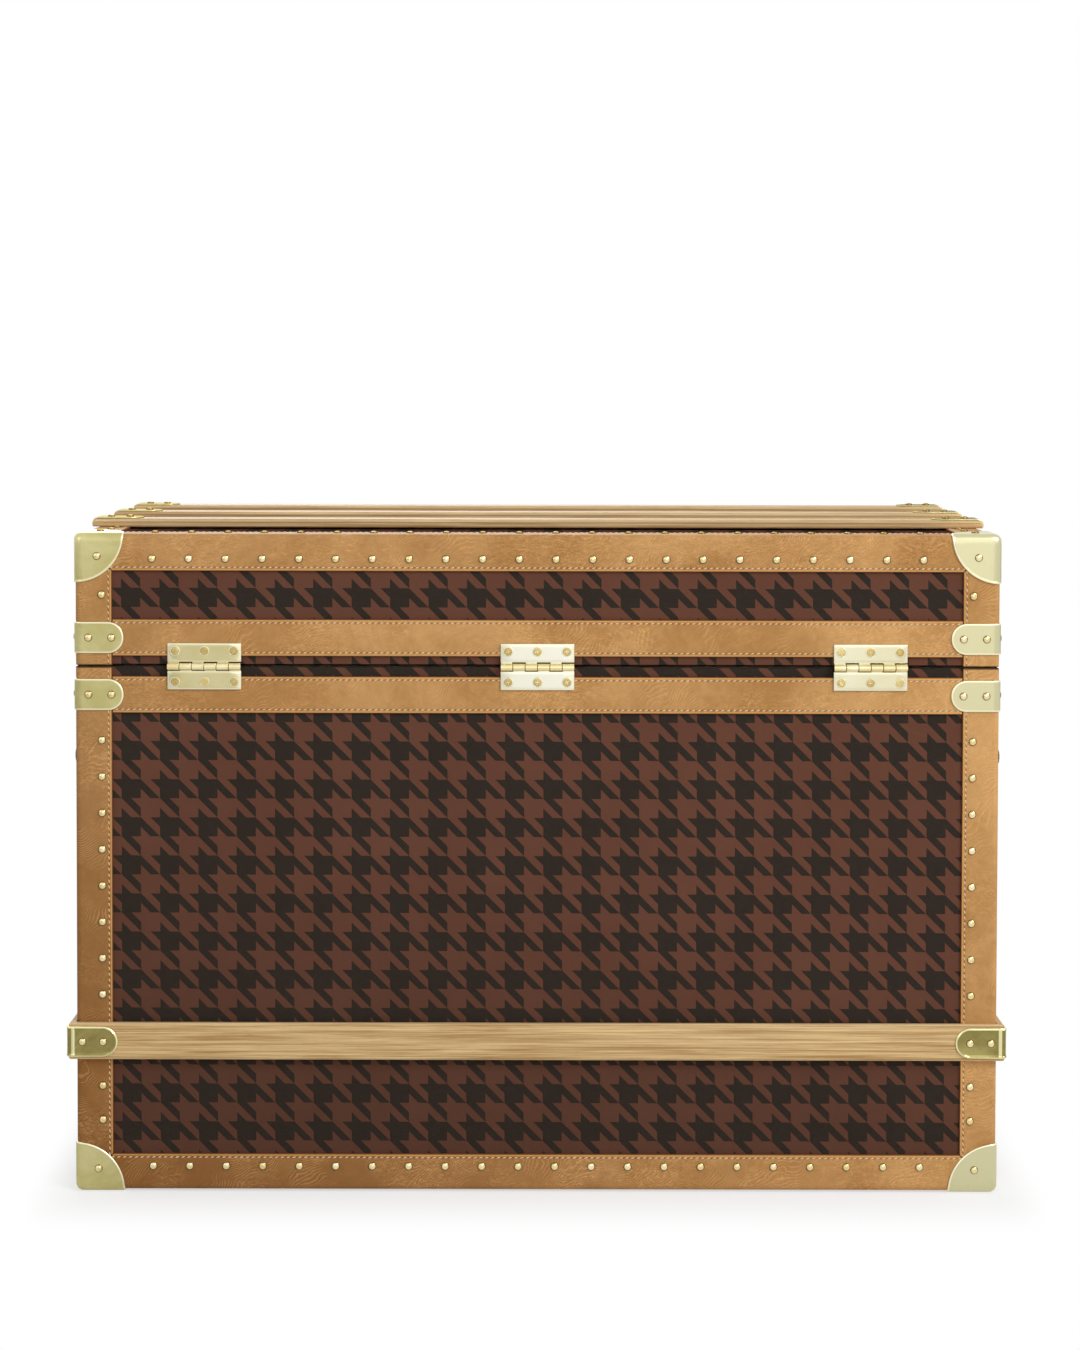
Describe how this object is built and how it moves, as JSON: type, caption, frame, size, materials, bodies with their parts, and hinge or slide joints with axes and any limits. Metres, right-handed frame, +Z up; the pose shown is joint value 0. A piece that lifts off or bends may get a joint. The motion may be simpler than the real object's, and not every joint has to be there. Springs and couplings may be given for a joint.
{
  "type": "flat-top travelling trunk",
  "caption": "Flat-topped travelling trunk in canvas, leather and brass with a wooden belt and top slats, butt hinges, hasp lock, clasps, end handles, lid stays and a lift-out tray.",
  "frame": {"origin": "on the floor under the middle of the box", "axes": "+X along the long side, front (lock side) faces -Y, hinges at +Y, +Z up"},
  "size_m": [0.9936, 0.5716, 0.6533],
  "materials": {
    "canvas": "coated woven canvas in two browns",
    "leather": "natural vegetable-tanned leather, stitched",
    "dark_leather": "dark brown rolled leather",
    "wood": "clear-varnished light hardwood",
    "brass": "aged pale brass",
    "steel": "plain turned steel",
    "plywood": "raw plywood, hidden",
    "lined_plywood": "plywood lined with plain cotton cloth",
    "lining": "plain cotton cloth"
  },
  "bodies": {
    "body": {"body_carcass": "lined_plywood", "body_canvas": "canvas", "body_leather_binding": "leather", "body_collar": "lined_plywood", "body_corner_back_right": "brass", "body_corner_back_left": "brass", "body_corner_front_left": "brass", "body_corner_front_right": "brass", "body_rim_clamp_back_right": "brass", "body_rim_clamp_back_left": "brass", "body_rim_clamp_front_left": "brass", "body_rim_clamp_front_right": "brass", "belt_clamp_back_right": "brass", "belt_clamp_back_left": "brass", "belt_clamp_front_left": "brass", "belt_clamp_front_right": "brass", "belt_slat_front": "wood", "belt_slat_back": "wood", "belt_slat_left": "wood", "belt_slat_right": "wood", "hinge_body_leaf_left": "brass", "hinge_body_leaf_middle": "brass", "hinge_body_leaf_right": "brass", "lock_case": "brass", "clasp_plate_left": "brass", "clasp_plate_right": "brass", "handle_mount_left": "brass", "handle_mount_right": "brass", "handle_grip_left": "dark_leather", "handle_grip_right": "dark_leather"},
    "lid": {"lid_carcass": "plywood", "lid_canvas": "canvas", "lid_leather_binding": "leather", "lid_lining": "lining", "lid_corner_back_right": "brass", "lid_corner_back_left": "brass", "lid_corner_front_left": "brass", "lid_corner_front_right": "brass", "lid_rim_clamp_back_right": "brass", "lid_rim_clamp_back_left": "brass", "lid_rim_clamp_front_left": "brass", "lid_rim_clamp_front_right": "brass", "lid_slat_front": "wood", "lid_slat_middle": "wood", "lid_slat_back": "wood", "hinge_lid_leaf_left": "brass", "hinge_lid_leaf_middle": "brass", "hinge_lid_leaf_right": "brass", "lock_lid_plate": "brass", "clasp_lid_plate_left": "brass", "clasp_lid_plate_right": "brass"},
    "hasp": {"lock_hasp": "brass"},
    "clasp_left": {"clasp_strap_left": "brass"},
    "clasp_right": {"clasp_strap_right": "brass"},
    "key_cylinder": {"lock_cylinder": "steel"},
    "tray": {"tray": "lined_plywood"},
    "stay_lower_left": {"stay_lower_arm_left": "brass"},
    "stay_lower_right": {"stay_lower_arm_right": "brass"},
    "stay_upper_left": {"stay_upper_arm_left": "brass"},
    "stay_upper_right": {"stay_upper_arm_right": "brass"}
  },
  "joints": [
    {"name": "lid_hinge", "type": "hinge", "parent": "body", "child": "lid", "pos_m": [0, 0.2788, 0.51619], "axis": [-1, 0, 0], "range_deg": [0, 95]},
    {"name": "hasp_hinge", "type": "hinge", "parent": "lid", "child": "hasp", "pos_m": [0, -0.2785, 0.52599], "axis": [-1, 0, 0], "range_deg": [0, 150]},
    {"name": "clasp_hinge_left", "type": "hinge", "parent": "lid", "child": "clasp_left", "pos_m": [-0.262, -0.2785, 0.52599], "axis": [-1, 0, 0], "range_deg": [0, 150]},
    {"name": "clasp_hinge_right", "type": "hinge", "parent": "lid", "child": "clasp_right", "pos_m": [0.262, -0.2785, 0.52599], "axis": [-1, 0, 0], "range_deg": [0, 150]},
    {"name": "key_turn", "type": "hinge", "parent": "body", "child": "key_cylinder", "pos_m": [0, -0.2849, 0.46809], "axis": [0, 1, 0], "range_deg": [0, 90]},
    {"name": "tray_lift", "type": "slide", "parent": "body", "child": "tray", "axis": [0, 0, 1], "range_m": [0, 0.12]},
    {"name": "stay_body_pivot_left", "type": "hinge", "parent": "body", "child": "stay_lower_left", "pos_m": [-0.4304, 0.17488, 0.45619], "axis": [-1, 0, 0], "range_deg": [0, 95]},
    {"name": "stay_lid_pivot_left", "type": "hinge", "parent": "lid", "child": "stay_upper_left", "pos_m": [-0.4276, 0.17488, 0.57619], "axis": [1, 0, 0], "range_deg": [0, 95]},
    {"name": "stay_body_pivot_right", "type": "hinge", "parent": "body", "child": "stay_lower_right", "pos_m": [0.4304, 0.17488, 0.45619], "axis": [-1, 0, 0], "range_deg": [0, 95]},
    {"name": "stay_lid_pivot_right", "type": "hinge", "parent": "lid", "child": "stay_upper_right", "pos_m": [0.4276, 0.17488, 0.57619], "axis": [1, 0, 0], "range_deg": [0, 95]}
  ],
  "couplings": [
    {"joint": "stay_body_pivot_left", "follows": "lid_hinge", "ratio": 1},
    {"joint": "stay_lid_pivot_left", "follows": "lid_hinge", "ratio": 1},
    {"joint": "stay_body_pivot_right", "follows": "lid_hinge", "ratio": 1},
    {"joint": "stay_lid_pivot_right", "follows": "lid_hinge", "ratio": 1}
  ]
}
